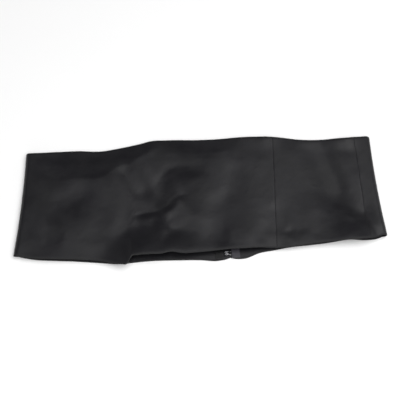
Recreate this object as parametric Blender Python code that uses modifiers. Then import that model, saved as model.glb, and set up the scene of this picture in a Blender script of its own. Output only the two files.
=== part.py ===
"""A cummerbund laid flat: a closed waist band whose front layer lies on its back layer.

The band is a slightly conical tube, cut in four panels and closed at the back with hooks and eyes.
Both layers, and the two folds that join them at the left and right ends, are one curved wall. A point
of that wall is found from a column, which runs round the band, and a share from the near edge, 0, to
the far edge, 1. X runs along the band, Y away from the viewer and Z up. The origin is the middle of
the underside. Sizes are in millimetres and MM turns them to metres.
"""

import math
from collections import namedtuple

import bmesh
import bpy
import numpy as np

MM = 0.001

# The cloth: satin on a fused stiffening, folded in at its edges.
WALL = 1.6
SEAM_GAP = 0.3
BACK_HEIGHT = WALL / 2
FRONT_HEIGHT = 6.4
LEAST_FRONT_HEIGHT = 3.3
FOLD_DEPTH = 4.0

# Where the two folded ends lie, at the near and the far edge, and how far their middle bows in.
FoldLine = namedtuple("FoldLine", "near_x far_x bow")
LEFT_FOLD = FoldLine(-184.0, -178.6, 1.6)
RIGHT_FOLD = FoldLine(183.3, 172.6, -1.3)

# Seam lines, as the X of their near and far ends.
SeamLine = namedtuple("SeamLine", "near_x far_x")
FRONT_SEAM = SeamLine(73.9, 72.8)
RIGHT_SIDE_SEAM = SeamLine(164.7, 155.8)
LEFT_SIDE_SEAM = SeamLine(-152.0, -149.0)
CENTRE_BACK = SeamLine(28.2, 18.6)

# The near edge of the front layer: x, y, the height of the middle of the wall, and how far into the cloth
# that height is felt.
FRONT_NEAR_EDGE = (
    (-184, -63.4, 4.8, 14),
    (-166, -65.6, 4.6, 12),
    (-147, -66.6, 4.8, 10),
    (-118, -67.6, 4.2, 12),
    (-98, -69.0, 4.2, 14),
    (-84, -70.2, 4.4, 16),
    (-76, -69.6, 5.2, 22),
    (-71, -67.6, 7.4, 28),
    (-66, -64.9, 10.2, 32),
    (-50, -63.8, 11.6, 32),
    (-38, -62.7, 11.8, 30),
    (-30, -60.6, 12.0, 28),
    (-18, -61.2, 10.8, 26),
    (-1, -58.8, 8.8, 22),
    (13, -56.9, 8.4, 19),
    (28, -56.0, 9.4, 19),
    (43, -55.0, 9.4, 19),
    (57, -54.2, 8.0, 19),
    (74, -55.2, 5.8, 19),
    (87, -54.5, 7.4, 19),
    (106, -52.1, 8.2, 19),
    (126, -50.2, 10.0, 19),
    (146, -47.8, 12.0, 19),
    (160, -46.8, 12.0, 19),
    (173, -43.6, 8.6, 19),
    (183, -39.9, 7.2, 19),
)

# The near edge of the back layer, from the left fold to the centre back and from there to the right fold.
BACK_NEAR_EDGE = (
    (-184, -61.4),
    (-173, -64.2),
    (-162, -66.0),
    (-148, -66.8),
    (-119, -67.9),
    (-99, -69.3),
    (-79, -70.4),
    (-70, -69.4),
    (-50, -67.3),
    (-21, -66.4),
    (-1, -66.2),
    (16, -67.0),
    (25, -65.2),
    (28.2, -63.9),
    (33, -64.8),
    (43, -64.5),
    (57, -58.8),
    (74, -55.4),
    (87, -52.7),
    (107, -50.3),
    (127, -47.6),
    (147, -44.2),
    (161, -44.9),
    (174, -43.3),
    (184, -38.5),
)

# The far edge of both layers: x, y, and the height of the middle of the front layer's wall.
FAR_EDGE = (
    (-179, 48.6, 5.0),
    (-164, 49.7, 5.0),
    (-144, 51.6, 3.6),
    (-125, 52.6, 3.4),
    (-103, 52.2, 3.4),
    (-93, 53.7, 3.4),
    (-83, 55.8, 3.6),
    (-73, 58.1, 3.6),
    (-62, 60.8, 3.8),
    (-52, 63.9, 3.8),
    (-37, 64.9, 3.8),
    (-1, 65.0, 4.4),
    (19, 66.0, 4.8),
    (40, 67.5, 6.0),
    (62, 68.3, 6.0),
    (75, 67.9, 5.4),
    (90, 66.3, 4.8),
    (101, 65.3, 4.4),
    (122, 65.5, 3.8),
    (142, 66.6, 5.6),
    (156, 67.4, 6.6),
    (172, 69.0, 5.6),
)
BACK_FAR_SETBACK = 1.0

# The tables above and below are drawn about a point this far from the middle of the whole outline.
MIDDLE_Y = -0.74

# The height of the front layer where it turns into a fold, from the near edge, 0, to the far edge, 1.
FoldHeight = namedtuple("FoldHeight", "share left right")
FOLD_HEIGHTS = (
    FoldHeight(0.0, 5.2, 8.2),
    FoldHeight(0.1, 6.2, 8.8),
    FoldHeight(0.25, 6.4, 8.0),
    FoldHeight(0.45, 6.6, 7.4),
    FoldHeight(0.75, 6.0, 6.4),
    FoldHeight(1.0, 5.8, 6.0),
)

# How far into the cloth the heights of the far edge and of the folds are felt.
FAR_REACH = 18.0
FOLD_REACH = 13.0

# Creases of the front layer, each drawn from left to right. Height is the rise of a ridge or, below
# zero, the depth of a trough. The two widths are its slopes' on the far and near side of its line, and
# fades are the shares of its length over which its two ends die out. A power of 2 rounds a slope off at
# the line and one near 1 makes it crisp.
Crease = namedtuple(
    "Crease", "height far_width near_width fades line far_power near_power", defaults=(2.0, 2.0)
)
CREASES = {
    "shoulder ridge": Crease(
        1.4, 5, 22, (0.25, 0.2),
        (
            (-160, 14), (-126, 18), (-106, 18), (-96, 22), (-88, 29),
            (-80, 34), (-71, 36), (-63, 43), (-56, 49), (-40, 50),
        ),
        1.4,
    ),
    "hollow behind the shoulder": Crease(
        -2.0, 14, 14, (0.3, 0.3), ((-168, 46), (-130, 45), (-105, 48), (-66, 56))
    ),
    "long valley": Crease(-2.0, 9, 9, (0.3, 0.3), ((-92, 36), (-79, 31), (-69, 20), (-58, 3), (-50, -8))),
    "far hollow": Crease(-1.8, 18, 13, (0.3, 0.3), ((-53, 61), (-37, 41), (-28, 24)), 1.8),
    "middle trough": Crease(
        -1.4, 7, 8, (0.3, 0.3), ((-48, 4), (-42, 12), (-34, 24), (-22, 30), (-8, 31), (10, 32))
    ),
    "central ridge": Crease(2.0, 12, 15, (0.3, 0.3), ((1, 56), (3, 23), (8, 2), (20, -11))),
    "central hollow": Crease(-0.8, 12, 7, (0.3, 0.3), ((32, 43), (32, 18), (29, -11))),
    "left pocket": Crease(-2.2, 11, 16, (0.35, 0.3), ((-80, -31), (-68, -32), (-56, -34))),
    "pocket brow": Crease(1.4, 8, 9, (0.4, 0.35), ((-76, -17), (-65, -21), (-55, -25), (-45, -31))),
    "ridge foot": Crease(
        2.6, 11, 8, (0.1, 0.4), ((-51, -66), (-47, -53), (-43, -41), (-38, -30), (-34, -22)), 1.8
    ),
    "slanting ridge": Crease(
        2.8, 4, 22, (0.3, 0.3), ((-42, -20), (-37, -17), (-30, -12), (-24, -5), (-18, 2)), 2.0, 1.6
    ),
    "right pocket": Crease(-2.2, 12, 14, (0.35, 0.35), ((-37, -29), (-29, -31), (-20, -35))),
    "deep crease": Crease(
        -1.6, 12, 4, (0.35, 0.25),
        ((-70, -19), (-60, -18), (-51, -16), (-42, -14), (-36, -11), (-31, -6), (-25, 3)),
    ),
    "falling ridge": Crease(1.4, 13, 11, (0.3, 0.3), ((-8, -9), (-10, -30), (-4, -58))),
    "lip swell": Crease(2.2, 22, 10, (0.3, 0.3), ((19, -52), (37, -45), (60, -49)), 1.6),
    "lip trough": Crease(-0.4, 8, 5, (0.3, 0.3), ((4, -41), (15, -35), (29, -40))),
    "seam hollow": Crease(-0.9, 11, 11, (0.3, 0.3), ((68, -5), (74, -25), (66, -47))),
    "side ridge": Crease(2.4, 12, 13, (0.3, 0.3), ((102, 2), (114, -17), (121, -52))),
    "side valley": Crease(
        -3.0, 10, 17, (0.15, 0.3), ((112, 72), (122, 46), (131, 20), (140, 1), (158, -14))
    ),
    "corner ridge": Crease(3.0, 15, 16, (0.2, 0.35), ((154, -52), (142, -46), (162, -16))),
    "fold ridge": Crease(0.6, 9, 8, (0.3, 0.3), ((156, 36), (166, 12), (172, -10))),
    "near dimple": Crease(-1.0, 5, 4, (0.25, 0.25), ((84, -34), (91, -44), (101, -48))),
    "dimple swell": Crease(2.6, 9, 15, (0.3, 0.3), ((98, -36), (100, -54), (113, -41))),
    "left swell": Crease(0.9, 12, 12, (0.3, 0.3), ((-152, -38), (-132, -35), (-115, -30), (-98, -25))),
    "left trough": Crease(-0.9, 10, 10, (0.3, 0.3), ((-153, -14), (-134, -5), (-120, 2), (-106, -5))),
    "near dip": Crease(-0.6, 11, 8, (0.3, 0.3), ((-158, -48), (-146, -46), (-135, -49))),
    "side seam hollow": Crease(-1.6, 5, 13, (0.3, 0.3), ((132, 68), (148, 61), (153, 62))),
    "upper swell": Crease(0.4, 8, 12, (0.3, 0.3), ((36, 46), (56, 38), (72, 34))),
    "left face": Crease(0.6, 12, 14, (0.3, 0.3), ((-96, 3), (-86, -12), (-74, -23))),
}
CREASE_STEP = 1.5
# Inside a bend of a crease's line its fade is blended over this distance.
FADE_BLEND = 1.5
# How far a crease is rounded at its line, as a share of its narrower width.
CREASE_ROUNDING = 0.25

# Closure: two tapes on the inside of the back layer, and the wires that come out from their facing edges.
TAPE_THICKNESS = 1.0
HOOK_TAPE_EDGE = 1.8
EYE_TAPE_EDGE = 6.2
TAPE_WIDTH = 8.0
TAPE_PROUD = 1.0
TAPE_FAR_SETBACK = 1.5
HOOK_COUNT = 7
FIRST_HOOK = 4.1
HOOK_SPACING = 19.0
WIRE = 0.7
WIRE_GAP = 0.35
HOOK_SPREAD = 1.8
HOOK_SHANK_SPREAD = 1.1
BEND_CENTRE = 4.2
BILL_END = 1.7
EYE_BAR = 3.6
EYE_SPREAD = 2.15
EYE_CORNER = 0.9

BODY_TOP = BACK_HEIGHT + WALL / 2
TAPE_MIDDLE = BODY_TOP + SEAM_GAP + TAPE_THICKNESS / 2
BILL_HEIGHT = BODY_TOP + SEAM_GAP + WIRE / 2
BAR_HEIGHT = BILL_HEIGHT + WIRE + WIRE_GAP
SHANK_HEIGHT = BAR_HEIGHT + WIRE + WIRE_GAP

# How finely the sheets and wires are drawn: steps along the band, from its near to its far edge, and
# round a hook's bend.
FRONT_STEPS = 58
SIDE_FRONT_STEPS = 18
SIDE_STRIP_STEPS = 4
BACK_LEFT_STEPS = 20
BACK_RIGHT_STEPS = 18
FOLD_STEPS = 8
CREASED_ROWS = 28
FOLDED_ROWS = 24
FLAT_ROWS = 6
TAPE_ROWS = 8
BEND_STEPS = 4

# Finishes: a colour, its roughness and its share of metal.
Finish = namedtuple("Finish", "name colour roughness metallic")
SATIN = Finish("black satin", (0.022, 0.021, 0.024), 0.5, 0.0)
GREY_TAPE = Finish("grey satin tape", (0.08, 0.075, 0.09), 0.45, 0.0)
BLACK_TAPE = Finish("black satin tape", (0.012, 0.011, 0.014), 0.45, 0.0)
NICKEL = Finish("nickel wire", (0.62, 0.60, 0.57), 0.25, 1.0)
BLACK_ENAMEL = Finish("black enamelled wire", (0.02, 0.02, 0.022), 0.5, 0.0)


def smooth_step(value):
    value = np.clip(value, 0.0, 1.0)
    return value * value * (3.0 - 2.0 * value)


def smooth_lookup(x, table, column):
    """A table's column read at x through a cubic that keeps the table's own points."""
    xs = np.array([row[0] for row in table], dtype=float)
    ys = np.array([row[column] for row in table], dtype=float)
    slopes = np.gradient(ys, xs)
    x = np.clip(np.asarray(x, dtype=float), xs[0], xs[-1])
    i = np.clip(np.searchsorted(xs, x) - 1, 0, len(xs) - 2)
    span = xs[i + 1] - xs[i]
    t = (x - xs[i]) / span
    rise = t * t * (3 - 2 * t)
    bend = span * (t * (1 - t) ** 2 * slopes[i] - t * t * (1 - t) * slopes[i + 1])
    return ys[i] * (1 - rise) + ys[i + 1] * rise + bend


def smooth_line(points, step=CREASE_STEP):
    """A Catmull-Rom curve through the points, as a fine run of straight pieces."""
    points = np.array(points, dtype=float)
    padded = np.vstack((2 * points[0] - points[1], points, 2 * points[-1] - points[-2]))
    run = []
    for a, b, c, d in zip(padded, padded[1:], padded[2:], padded[3:]):
        count = max(2, int(np.linalg.norm(c - b) / step))
        straight, bend, twist = c - a, 2 * a - 5 * b + 4 * c - d, 3 * b - a - 3 * c + d
        for t in np.arange(count) / count:
            run.append(b + 0.5 * (straight * t + bend * t**2 + twist * t**3))
    run.append(points[-1])
    return np.array(run)


def crease_height(x, y, crease):
    """How much one crease lifts or lowers the cloth at the places x, y."""
    run = smooth_line(crease.line)
    start, way = run[:-1], np.diff(run, axis=0)
    lengths = np.linalg.norm(way, axis=1)
    before = np.concatenate(([0.0], np.cumsum(lengths)))
    px = x[:, None] - start[:, 0]
    py = y[:, None] - start[:, 1]
    along = np.clip((px * way[:, 0] + py * way[:, 1]) / lengths**2, 0.0, 1.0)
    dx = px - along * way[:, 0]
    dy = py - along * way[:, 1]
    distances = np.hypot(dx, dy)
    places = np.arange(len(x))
    nearest = np.argmin(distances, axis=1)
    distance = distances[places, nearest]
    across = ((way[:, 0] * dy - way[:, 1] * dx) / lengths)[places, nearest]
    far_side = smooth_step(0.5 + 0.5 * across / np.maximum(distance, 1e-6))
    width = mix(crease.near_width, crease.far_width, far_side)
    power = mix(crease.near_power, crease.far_power, far_side)
    share = (before[:-1] + along * lengths) / before[-1]
    fades = smooth_step(share / crease.fades[0]) * smooth_step((1 - share) / crease.fades[1])
    weights = np.exp((distance[:, None] - distances) / FADE_BLEND)
    fade = (fades * weights).sum(axis=1) / weights.sum(axis=1)
    rounding = CREASE_ROUNDING * min(crease.far_width, crease.near_width)
    rounded = np.hypot(distance, rounding) - rounding
    return crease.height * fade * np.exp(-((rounded / width) ** power))


def mix(a, b, share):
    return a + (b - a) * share


def fold_line_x(line, v):
    return mix(line.near_x, line.far_x, v) + line.bow * 4 * v * (1 - v)


def layer_ends(v):
    """The X where the flat layers meet the left and the right fold."""
    inset = FOLD_DEPTH + WALL / 2
    return fold_line_x(LEFT_FOLD, v) + inset, fold_line_x(RIGHT_FOLD, v) - inset


def column_of(line, v, side=0):
    """The column, 0 at the left fold and 1 at the right fold, of a seam line or of one of its two sides."""
    left, right = layer_ends(v)
    return (mix(line.near_x, line.far_x, v) + side * SEAM_GAP / 2 - left) / (right - left)


def plan_point(column, v, near_table, far_setback):
    left, right = layer_ends(v)
    x = mix(left, right, column)
    near_y = smooth_lookup(x, near_table, 1)
    far_y = smooth_lookup(x, FAR_EDGE, 1) - far_setback
    return x, mix(near_y, far_y, v)


def back_point(column, v):
    x, y = plan_point(column, v, BACK_NEAR_EDGE, BACK_FAR_SETBACK)
    return x, y - MIDDLE_Y, np.full_like(x, BACK_HEIGHT)


def front_point(column, v):
    x, y = plan_point(column, v, FRONT_NEAR_EDGE, 0.0)
    z = np.full_like(x, FRONT_HEIGHT)
    for crease in CREASES.values():
        z = z + crease_height(x, y, crease)
    left, right = layer_ends(v)
    from_near = y - smooth_lookup(x, FRONT_NEAR_EDGE, 1)
    near_pull = 1 - smooth_step(from_near / smooth_lookup(x, FRONT_NEAR_EDGE, 3))
    far_pull = 1 - smooth_step((smooth_lookup(x, FAR_EDGE, 1) - y) / FAR_REACH)
    left_pull = 1 - smooth_step((x - left) / FOLD_REACH)
    right_pull = 1 - smooth_step((right - x) / FOLD_REACH)
    z = mix(z, smooth_lookup(x, FRONT_NEAR_EDGE, 2), near_pull)
    z = mix(z, smooth_lookup(x, FAR_EDGE, 2), far_pull)
    z = mix(z, smooth_lookup(v, FOLD_HEIGHTS, 1), left_pull)
    z = mix(z, smooth_lookup(v, FOLD_HEIGHTS, 2), right_pull)
    return x, y - MIDDLE_Y, np.maximum(z, LEAST_FRONT_HEIGHT)


def fold_point(column, v, angle):
    """A point of the fold at column 0 or 1, with angle from the back layer, -90 degrees, to the front, 90."""
    ends = np.full_like(v, column)
    back = np.array(back_point(ends, v))
    front = np.array(front_point(ends, v))
    point = mix(back, front, (1 + math.sin(angle)) / 2)
    outward = 1 if column else -1
    point[0] += outward * FOLD_DEPTH * math.cos(angle)
    return point


def layer_columns(layer, v, start, end, count):
    """Columns of points of one layer, evenly spread from start to end."""
    return [np.array(layer(mix(start, end, k / count), v)) for k in range(count + 1)]


def fold_columns(v, column):
    """Columns of points between the two layers, round one fold."""
    angles = [math.pi * (k / FOLD_STEPS - 0.5) for k in range(1, FOLD_STEPS)]
    return [fold_point(column, v, angle) for angle in angles]


def front_panel_columns(v):
    left_end = np.zeros_like(v)
    back = layer_columns(back_point, v, column_of(LEFT_SIDE_SEAM, v, -1), left_end, SIDE_STRIP_STEPS)
    front = layer_columns(front_point, v, left_end, column_of(FRONT_SEAM, v, -1), FRONT_STEPS)
    return back + fold_columns(v, 0) + front


def side_front_columns(v):
    start = column_of(FRONT_SEAM, v, 1)
    return layer_columns(front_point, v, start, column_of(RIGHT_SIDE_SEAM, v, -1), SIDE_FRONT_STEPS)


def back_right_columns(v):
    right_end = np.ones_like(v)
    front = layer_columns(front_point, v, column_of(RIGHT_SIDE_SEAM, v, 1), right_end, SIDE_STRIP_STEPS)
    back = layer_columns(back_point, v, right_end, column_of(CENTRE_BACK, v, 1), BACK_RIGHT_STEPS)
    return front + fold_columns(v, 1)[::-1] + back


def back_left_columns(v):
    start = column_of(CENTRE_BACK, v, -1)
    return layer_columns(back_point, v, start, column_of(LEFT_SIDE_SEAM, v, 1), BACK_LEFT_STEPS)


def grid_object(name, columns, thickness, material, collection):
    """A sheet through columns of points, given its thickness half to each side."""
    grid = np.array(columns)
    across, along = grid.shape[0], grid.shape[2]
    mesh = bpy.data.meshes.new(name)
    bm = bmesh.new()
    bmesh.ops.create_grid(bm, x_segments=across - 1, y_segments=along - 1, size=1.0)
    for vert in bm.verts:
        i = round((vert.co.x + 1) / 2 * (across - 1))
        j = round((vert.co.y + 1) / 2 * (along - 1))
        vert.co = grid[i, :, j] * MM
    bm.to_mesh(mesh)
    bm.free()
    mesh.shade_smooth()
    mesh.materials.append(material)
    sheet = bpy.data.objects.new(name, mesh)
    collection.objects.link(sheet)
    wall = sheet.modifiers.new("wall", "SOLIDIFY")
    wall.thickness = thickness * MM
    wall.offset = 0.0
    wall.use_even_offset = True
    wall.use_quality_normals = True
    return sheet


def closure_frame(v):
    """The point of the centre back line at a share v, the way along it, and the way across it to the left."""
    ends = []
    for share in (0.0, 1.0):
        at = np.array([share])
        x, y, _ = back_point(column_of(CENTRE_BACK, at), at)
        ends.append(np.array((x[0], y[0])))
    along = (ends[1] - ends[0]) / np.linalg.norm(ends[1] - ends[0])
    return mix(ends[0], ends[1], v), along, np.array((-along[1], along[0]))


def closure_length():
    near, along, _ = closure_frame(0.0)
    far = closure_frame(1.0)[0]
    return float(np.dot(far - near, along))


def tape_columns(edge, side):
    """Columns of a tape that starts edge away from the centre back, on its left, 1, or right, -1."""
    near, along, left = closure_frame(0.0)
    lengths = np.linspace(-TAPE_PROUD, closure_length() - TAPE_FAR_SETBACK, TAPE_ROWS + 1)
    columns = []
    for away in (edge, edge + TAPE_WIDTH / 2, edge + TAPE_WIDTH):
        line = near[:, None] + along[:, None] * lengths + left[:, None] * side * away
        columns.append(np.vstack((line, np.full_like(lengths, TAPE_MIDDLE))))
    return columns


def wire_object(name, points, centre, material, collection):
    """A round wire through points (away to the left, along, height) from a centre on the centre back."""
    _, along, left = closure_frame(0.0)
    curve = bpy.data.curves.new(name, "CURVE")
    curve.dimensions = "3D"
    curve.bevel_depth = WIRE / 2 * MM
    curve.bevel_resolution = 1
    curve.use_fill_caps = True
    spline = curve.splines.new("POLY")
    spline.points.add(len(points) - 1)
    for target, (away, forward, height) in zip(spline.points, points):
        flat = centre + left * away + along * forward
        target.co = (flat[0] * MM, flat[1] * MM, height * MM, 1.0)
    curve.materials.append(material)
    wire = bpy.data.objects.new(name, curve)
    collection.objects.link(wire)
    return wire


def hook_half():
    """One side of a hook, from its end at the tape, over the bend and back to the tip of its bill."""
    tape_end = SEAM_GAP - HOOK_TAPE_EDGE
    radius = (SHANK_HEIGHT - BILL_HEIGHT) / 2
    middle = (SHANK_HEIGHT + BILL_HEIGHT) / 2
    points = [
        (tape_end, HOOK_SPREAD, TAPE_MIDDLE),
        (0.5, HOOK_SPREAD * 0.85, mix(TAPE_MIDDLE, SHANK_HEIGHT, 0.45)),
        (1.8, HOOK_SHANK_SPREAD * 1.1, SHANK_HEIGHT),
    ]
    for k in range(BEND_STEPS + 1):
        angle = math.pi * (0.5 - k / BEND_STEPS)
        away = BEND_CENTRE + radius * math.cos(angle)
        points.append((away, HOOK_SHANK_SPREAD, middle + radius * math.sin(angle)))
    points.append((BILL_END + HOOK_SHANK_SPREAD, HOOK_SHANK_SPREAD, BILL_HEIGHT))
    return points


def hook_points():
    near_half = [(away, -forward, height) for away, forward, height in hook_half()]
    return hook_half() + [(BILL_END, 0.0, BILL_HEIGHT)] + near_half[::-1]


def eye_points():
    """A bowed loop that comes out of the eye tape, with its bar across the hook's bend."""
    tape_end = EYE_TAPE_EDGE - SEAM_GAP
    half = [
        (tape_end, EYE_SPREAD, TAPE_MIDDLE),
        (EYE_BAR + EYE_CORNER * 1.2, EYE_SPREAD, mix(TAPE_MIDDLE, BAR_HEIGHT, 0.8)),
        (EYE_BAR + EYE_CORNER * 0.3, EYE_SPREAD - EYE_CORNER * 0.3, BAR_HEIGHT),
        (EYE_BAR, EYE_SPREAD - EYE_CORNER, BAR_HEIGHT),
    ]
    return half + [(away, -forward, height) for away, forward, height in half[::-1]]


def principled(finish):
    material = bpy.data.materials.new(finish.name)
    material.use_nodes = True
    shader = material.node_tree.nodes["Principled BSDF"]
    shader.inputs["Base Color"].default_value = (*finish.colour, 1.0)
    shader.inputs["Roughness"].default_value = finish.roughness
    shader.inputs["Metallic"].default_value = finish.metallic
    material.diffuse_color = (*finish.colour, 1.0)
    return material


def build_panels(collection):
    satin = principled(SATIN)
    panels = (
        ("front_panel", front_panel_columns, CREASED_ROWS),
        ("side_front_panel", side_front_columns, CREASED_ROWS),
        ("back_right_panel", back_right_columns, FOLDED_ROWS),
        ("back_left_panel", back_left_columns, FLAT_ROWS),
    )
    for name, columns, row_count in panels:
        shares = np.linspace(0.0, 1.0, row_count + 1)
        grid_object(name, columns(shares), WALL, satin, collection)


def build_closure(collection):
    hook_tape = tape_columns(HOOK_TAPE_EDGE, -1)
    eye_tape = tape_columns(EYE_TAPE_EDGE, 1)
    grid_object("hook_tape", hook_tape, TAPE_THICKNESS, principled(GREY_TAPE), collection)
    grid_object("eye_tape", eye_tape, TAPE_THICKNESS, principled(BLACK_TAPE), collection)
    nickel = principled(NICKEL)
    enamel = principled(BLACK_ENAMEL)
    near, along, _ = closure_frame(0.0)
    for k in range(HOOK_COUNT):
        centre = near + along * (FIRST_HOOK + HOOK_SPACING * k)
        wire_object(f"hook_{k + 1}", hook_points(), centre, nickel, collection)
        wire_object(f"eye_{k + 1}", eye_points(), centre, enamel, collection)


def main():
    for leftover in list(bpy.data.objects):
        bpy.data.objects.remove(leftover)
    collection = bpy.data.collections.new("cummerbund")
    bpy.context.scene.collection.children.link(collection)
    build_panels(collection)
    build_closure(collection)


main()
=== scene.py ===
"""A black satin cummerbund laid flat, closed at the back with hooks and eyes.

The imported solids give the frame; this script dresses them. The cloth is one curved wall that runs round
the band: a back layer flat on the table, a fold at each end and a creased front layer. Lengths inside
the form classes are in millimetres, as a cutter would write them, and MM turns them to metres.
"""

import logging
import math
from collections.abc import Callable
from dataclasses import dataclass, field
from enum import Enum

import bmesh
import bpy
import numpy as np
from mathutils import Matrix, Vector


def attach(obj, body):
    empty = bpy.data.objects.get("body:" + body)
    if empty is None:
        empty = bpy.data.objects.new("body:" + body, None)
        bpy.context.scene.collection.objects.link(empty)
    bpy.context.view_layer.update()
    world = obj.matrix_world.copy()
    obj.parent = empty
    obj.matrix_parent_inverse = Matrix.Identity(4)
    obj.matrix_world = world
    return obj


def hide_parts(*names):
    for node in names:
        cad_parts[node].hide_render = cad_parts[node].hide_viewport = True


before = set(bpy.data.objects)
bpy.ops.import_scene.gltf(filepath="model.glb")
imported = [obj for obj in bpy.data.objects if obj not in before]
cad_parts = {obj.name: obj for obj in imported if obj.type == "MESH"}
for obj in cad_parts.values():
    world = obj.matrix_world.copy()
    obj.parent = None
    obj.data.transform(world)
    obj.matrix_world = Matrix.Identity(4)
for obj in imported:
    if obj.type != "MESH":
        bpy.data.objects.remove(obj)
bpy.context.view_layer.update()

MM = 0.001
BODY = "root"
LOG = logging.getLogger("cummerbund")
# The sockets of a colour Mix node, whose names others share: its two colours and its result.
MIX_A, MIX_B, MIX_RESULT = 6, 7, 2
# The length in millimetres of the straight pieces of a crease's line.
CREASE_STEP = 1.5
# How far a crease reaches on each side of its line, in widths, and its rounding there as a share of a width.
CREASE_REACH = 3.4
CREASE_ROUNDING = 0.25
# Millimetres over which a crease's fade is blended inside a bend of its line.
FADE_BLEND = 1.5
# Millimetres from the near or the far edge over which the cloth is drawn a little lighter and duller.
RIM_BAND = 0.9
# How far in from an edge of the back layer it is understitched, as a share of the way across.
UNDERSTITCH_SHARE = 0.026
# Points round a folded rim, and how far in millimetres and by what share a sewn end thins at its seam.
RIM_STEPS = 5
END_ROLL = 0.15
END_EASE = 0.15
# Edges of cloth that turn by more degrees than this are shaded sharp.
SHARP_ANGLE = 50
# Straight pieces of a bent wire between two of its points, and those of a hook's round bend.
WIRE_STEPS = 4
BEND_STEPS = 6
# Columns of points across a tape, as shares of its width, closer beside its two edges.
TAPE_SHARES = (0.0, 0.02, 0.05, 0.15, 0.3, 0.5, 0.7, 0.85, 0.95, 0.98, 1.0)


# ---------------------------------------------------------------------------------------------------
# Small helpers
# ---------------------------------------------------------------------------------------------------


def linear(colour: str) -> tuple[float, float, float, float]:
    """Turns an sRGB hex colour to linear RGBA.

    Args:
        colour: six hex digits, such as "2b2a2e".

    Returns:
        The colour as four linear values, with alpha 1.
    """
    values = [int(colour[k : k + 2], 16) / 255 for k in (0, 2, 4)]
    red, green, blue = (v / 12.92 if v <= 0.04045 else ((v + 0.055) / 1.055) ** 2.4 for v in values)
    return red, green, blue, 1.0


def add_node(
    tree: bpy.types.NodeTree, kind: str, settings: dict | None = None, **links: bpy.types.NodeSocket
) -> bpy.types.Node:
    """Adds a node, sets its properties and fills or links its inputs.

    Args:
        tree: the node tree.
        kind: the node's type name.
        settings: properties of the node, and input values under their sockets' names or numbers.
        links: input socket names, with underscores for spaces, and the output sockets to link to them.

    Returns:
        The new node.
    """
    node = tree.nodes.new(kind)
    for name, value in (settings or {}).items():
        if isinstance(name, int) or name in node.inputs:
            node.inputs[name].default_value = value
        else:
            setattr(node, name, value)
    for name, socket in links.items():
        tree.links.new(socket, node.inputs[name.replace("_", " ")])
    return node


def new_material(name: str, shown: str) -> tuple[bpy.types.Material, bpy.types.NodeTree, bpy.types.Node]:
    """Starts a material.

    Args:
        name: its name.
        shown: the sRGB hex colour that stands for it in the viewport.

    Returns:
        The material, its node tree and its Principled shader.
    """
    made = bpy.data.materials.new(name)
    made.use_nodes = True
    made.diffuse_color = linear(shown)
    return made, made.node_tree, made.node_tree.nodes["Principled BSDF"]


def grain_scale(size_mm: float) -> float:
    """The scale of a noise texture whose grains are size_mm wide."""
    return 1 / (size_mm * MM)


def band_scale(spacing_mm: float) -> float:
    """The scale of a wave texture whose bands are spacing_mm apart; a scale of 1 has them pi / 10 apart."""
    return math.pi / 10 / (spacing_mm * MM)


def smooth_step(value: np.ndarray) -> np.ndarray:
    """A smooth rise from 0 to 1 as value runs from 0 to 1."""
    value = np.clip(value, 0.0, 1.0)
    return value * value * (3.0 - 2.0 * value)


def mix(a: np.ndarray | float, b: np.ndarray | float, share: np.ndarray | float) -> np.ndarray | float:
    """The value a share of the way from a to b."""
    return a + (b - a) * share


def smooth_lookup(x: np.ndarray, table: tuple, column: int) -> np.ndarray:
    """Reads a column of a table at x through a cubic that keeps the table's own points.

    Args:
        x: where to read, on the scale of the table's first column.
        table: rows of numbers, in order of their first column.
        column: which column to read.

    Returns:
        The values at x, held level past the table's two ends.
    """
    xs = np.array([row[0] for row in table], dtype=float)
    ys = np.array([row[column] for row in table], dtype=float)
    slopes = np.gradient(ys, xs)
    x = np.clip(np.asarray(x, dtype=float), xs[0], xs[-1])
    i = np.clip(np.searchsorted(xs, x) - 1, 0, len(xs) - 2)
    span = xs[i + 1] - xs[i]
    t = (x - xs[i]) / span
    rise = t * t * (3 - 2 * t)
    bend = span * (t * (1 - t) ** 2 * slopes[i] - t * t * (1 - t) * slopes[i + 1])
    return ys[i] * (1 - rise) + ys[i + 1] * rise + bend


def smooth_line(points: tuple | list, step: float | None = None) -> np.ndarray:
    """Draws a Catmull-Rom curve through points.

    Args:
        points: the points, in the plane or in space.
        step: the length of its straight pieces. Without it there are WIRE_STEPS from point to point.

    Returns:
        The curve's points, as an array.
    """
    knots = np.array(points, dtype=float)
    padded = np.vstack((2 * knots[0] - knots[1], knots, 2 * knots[-1] - knots[-2]))
    run = []
    for a, b, c, d in zip(padded, padded[1:], padded[2:], padded[3:]):
        count = max(2, int(np.linalg.norm(c - b) / step)) if step else WIRE_STEPS
        for t in np.arange(count) / count:
            bend = (2 * a - 5 * b + 4 * c - d) * t**2 + (3 * b - a - 3 * c + d) * t**3
            run.append(0.5 * (2 * b + (c - a) * t + bend))
    run.append(knots[-1])
    return np.array(run)


def finished(piece: bpy.types.Object, material: bpy.types.Material) -> bpy.types.Object:
    """Gives a piece its material and its body.

    Args:
        piece: a mesh object at the origin.
        material: its finish.

    Returns:
        The piece.
    """
    piece.data.materials.clear()
    piece.data.materials.append(material)
    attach(piece, BODY)
    LOG.info("%s: %d faces", piece.name, len(piece.data.polygons))
    return piece


def baked(source: bpy.types.Object, name: str) -> bpy.types.Object:
    """Replaces an object by a plain mesh of what its modifiers make of it.

    Args:
        source: the object with live modifiers, or a curve. It is removed.
        name: the name of the new object.

    Returns:
        The plain mesh object, at the origin.
    """
    graph = bpy.context.evaluated_depsgraph_get()
    mesh = bpy.data.meshes.new_from_object(source.evaluated_get(graph), depsgraph=graph)
    mesh.transform(source.matrix_world)
    bpy.data.objects.remove(source)
    mesh.name = name
    plain = bpy.data.objects.new(name, mesh)
    bpy.context.scene.collection.objects.link(plain)
    return plain


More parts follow.
